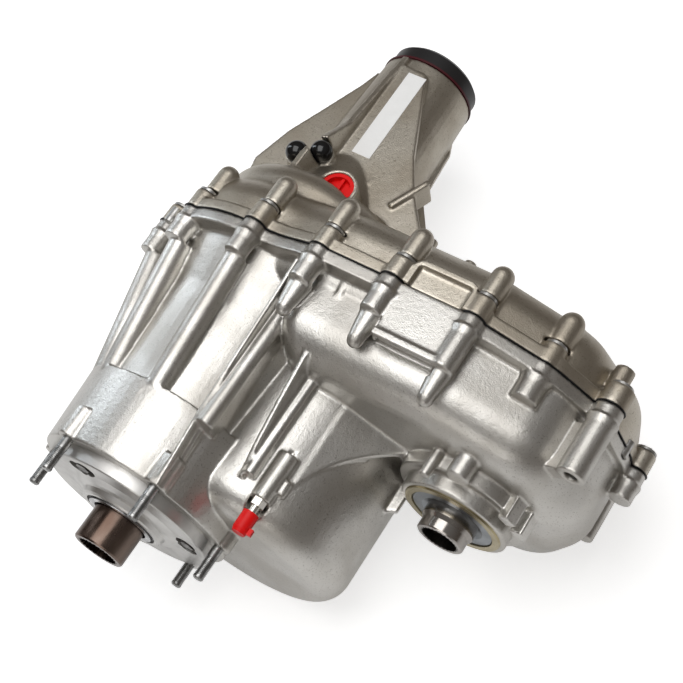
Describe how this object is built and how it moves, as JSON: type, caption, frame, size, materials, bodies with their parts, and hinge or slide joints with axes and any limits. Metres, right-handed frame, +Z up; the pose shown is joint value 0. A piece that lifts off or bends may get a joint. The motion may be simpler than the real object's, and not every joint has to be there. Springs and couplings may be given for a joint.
{
  "type": "transfer case",
  "caption": "Chain-driven part-time transfer case with planetary low range, splined input, front output beside it and a finned tail housing with a dust cap",
  "frame": {"origin": "centre of the stud pattern on the adapter face, on the main shaft's axis", "axes": "+Y runs from the adapter face along the main shaft to the tail, +X from the main shaft to the front output shaft, +Z up as it lies on its side"},
  "size_m": [0.5197, 0.5912, 0.291],
  "materials": {
    "cast_aluminium": "satin",
    "black_sealant": "satin",
    "black_oxide_steel": "satin",
    "zinc_steel": "satin",
    "machined_aluminium": "satin",
    "black_rubber": "satin",
    "bearing_steel": "gloss",
    "dark_steel": "satin",
    "gear_steel": "satin",
    "powder_metal": "matte",
    "bronze": "satin",
    "red_plastic": "gloss",
    "black_plastic": "matte",
    "dark_red_plastic": "satin",
    "white_paper": "matte",
    "nickel_brass": "gloss",
    "gold_zinc": "satin"
  },
  "bodies": {
    "case": {"front_case": "cast_aluminium", "rear_case": "cast_aluminium", "case_sealant": "black_sealant", "case_bolts": "black_oxide_steel", "case_dowels": "zinc_steel", "adapter_studs": "zinc_steel", "stud_nut": "zinc_steel", "input_bearing_retainer": "machined_aluminium", "retainer_bolts": "zinc_steel", "input_seal": "black_rubber", "input_seal_case": "zinc_steel", "input_bearing_outer_ring": "bearing_steel", "input_bearing_balls": "bearing_steel", "annulus_gear": "gear_steel", "drive_chain": "dark_steel", "shift_rail": "zinc_steel", "oil_pump_body": "machined_aluminium", "oil_pump_cover": "machined_aluminium", "oil_pickup": "zinc_steel", "rear_bearing_outer_ring": "bearing_steel", "rear_bearing_balls": "bearing_steel", "tail_bushing": "bronze", "tail_seal": "black_rubber", "tail_band": "dark_red_plastic", "tail_dust_cap": "black_plastic", "front_bearing_outer_ring": "bearing_steel", "front_bearing_balls": "bearing_steel", "front_output_seal": "black_rubber", "front_seal_ring": "gold_zinc", "needle_bearing": "bearing_steel", "vent_fitting": "nickel_brass", "vent_cap": "red_plastic", "port_plug": "red_plastic", "sensor_caps": "black_plastic", "oil_plugs": "zinc_steel", "label": "white_paper"},
    "input_shaft_body": {"input_shaft": "dark_steel", "input_bearing_inner_ring": "bearing_steel"},
    "carrier_body": {"planet_carrier": "powder_metal", "planet_pins": "zinc_steel"},
    "planet_1_body": {"planet_gear_1": "gear_steel"},
    "planet_2_body": {"planet_gear_2": "gear_steel"},
    "planet_3_body": {"planet_gear_3": "gear_steel"},
    "planet_4_body": {"planet_gear_4": "gear_steel"},
    "output_shaft_body": {"output_shaft": "gear_steel", "drive_sprocket": "powder_metal", "mode_hub": "powder_metal", "tone_wheel": "powder_metal", "oil_pump_rotor": "powder_metal", "rear_bearing_inner_ring": "bearing_steel"},
    "range_sleeve_body": {"range_sleeve": "gear_steel"},
    "mode_sleeve_body": {"mode_sleeve": "gear_steel"},
    "front_shaft_body": {"front_output_shaft": "dark_steel", "driven_sprocket": "powder_metal", "front_bearing_inner_ring": "bearing_steel"},
    "range_fork_body": {"range_fork": "machined_aluminium"},
    "mode_fork_body": {"mode_fork": "machined_aluminium"},
    "range_selector_body": {"range_selector": "zinc_steel"},
    "mode_selector_body": {"mode_selector": "zinc_steel"}
  },
  "joints": [
    {"name": "output_spin", "type": "hinge", "parent": "case", "child": "output_shaft_body", "pos_m": [0, 0.25, 0], "axis": [0, 1, 0], "continuous": true, "deforming": ["drive_chain"]},
    {"name": "input_spin", "type": "hinge", "parent": "case", "child": "input_shaft_body", "pos_m": [0, 0.015, 0], "axis": [0, 1, 0], "continuous": true},
    {"name": "carrier_spin", "type": "hinge", "parent": "case", "child": "carrier_body", "pos_m": [0, 0.08, 0], "axis": [0, 1, 0], "continuous": true},
    {"name": "front_output_spin", "type": "hinge", "parent": "case", "child": "front_shaft_body", "pos_m": [0.25717, 0.2, 0], "axis": [0, 1, 0], "continuous": true},
    {"name": "planet_1_spin", "type": "hinge", "parent": "carrier_body", "child": "planet_1_body", "pos_m": [0.0544, 0.0745, 0], "axis": [0, 1, 0], "continuous": true},
    {"name": "planet_2_spin", "type": "hinge", "parent": "carrier_body", "child": "planet_2_body", "pos_m": [0, 0.0745, 0.0544], "axis": [0, 1, 0], "continuous": true},
    {"name": "planet_3_spin", "type": "hinge", "parent": "carrier_body", "child": "planet_3_body", "pos_m": [-0.0544, 0.0745, 0], "axis": [0, 1, 0], "continuous": true},
    {"name": "planet_4_spin", "type": "hinge", "parent": "carrier_body", "child": "planet_4_body", "pos_m": [0, 0.0745, -0.0544], "axis": [0, 1, 0], "continuous": true},
    {"name": "range_selector_turn", "type": "hinge", "parent": "case", "child": "range_selector_body", "pos_m": [-0.1, 0.136, -0.025], "axis": [-1, 0, 0], "range_deg": [-27.66, 27.66]},
    {"name": "range_fork_slide", "type": "slide", "parent": "case", "child": "range_fork_body", "axis": [0, 1, 0], "range_m": [-0.013, 0.013]},
    {"name": "range_sleeve_slide", "type": "slide", "parent": "output_shaft_body", "child": "range_sleeve_body", "axis": [0, 1, 0], "range_m": [-0.013, 0.013]},
    {"name": "mode_selector_turn", "type": "hinge", "parent": "case", "child": "mode_selector_body", "pos_m": [-0.1, 0.2175, -0.025], "axis": [-1, 0, 0], "range_deg": [0, 30]},
    {"name": "mode_fork_slide", "type": "slide", "parent": "case", "child": "mode_fork_body", "axis": [0, 1, 0], "range_m": [0, 0.014]},
    {"name": "mode_sleeve_slide", "type": "slide", "parent": "output_shaft_body", "child": "mode_sleeve_body", "axis": [0, 1, 0], "range_m": [0, 0.014]}
  ],
  "couplings": [
    {"joint": "carrier_spin", "follows": "input_spin", "ratio": 0.375},
    {"joint": "front_output_spin", "follows": "output_spin", "ratio": 1},
    {"joint": "planet_1_spin", "follows": "input_spin", "ratio": -1.875},
    {"joint": "planet_2_spin", "follows": "input_spin", "ratio": -1.875},
    {"joint": "planet_3_spin", "follows": "input_spin", "ratio": -1.875},
    {"joint": "planet_4_spin", "follows": "input_spin", "ratio": -1.875},
    {"joint": "range_fork_slide", "follows": "range_sleeve_slide", "ratio": 1},
    {"joint": "range_selector_turn", "follows": "range_sleeve_slide", "rad_per_m": 37.14},
    {"joint": "mode_fork_slide", "follows": "mode_sleeve_slide", "ratio": 1},
    {"joint": "mode_selector_turn", "follows": "mode_sleeve_slide", "rad_per_m": 37.399}
  ]
}
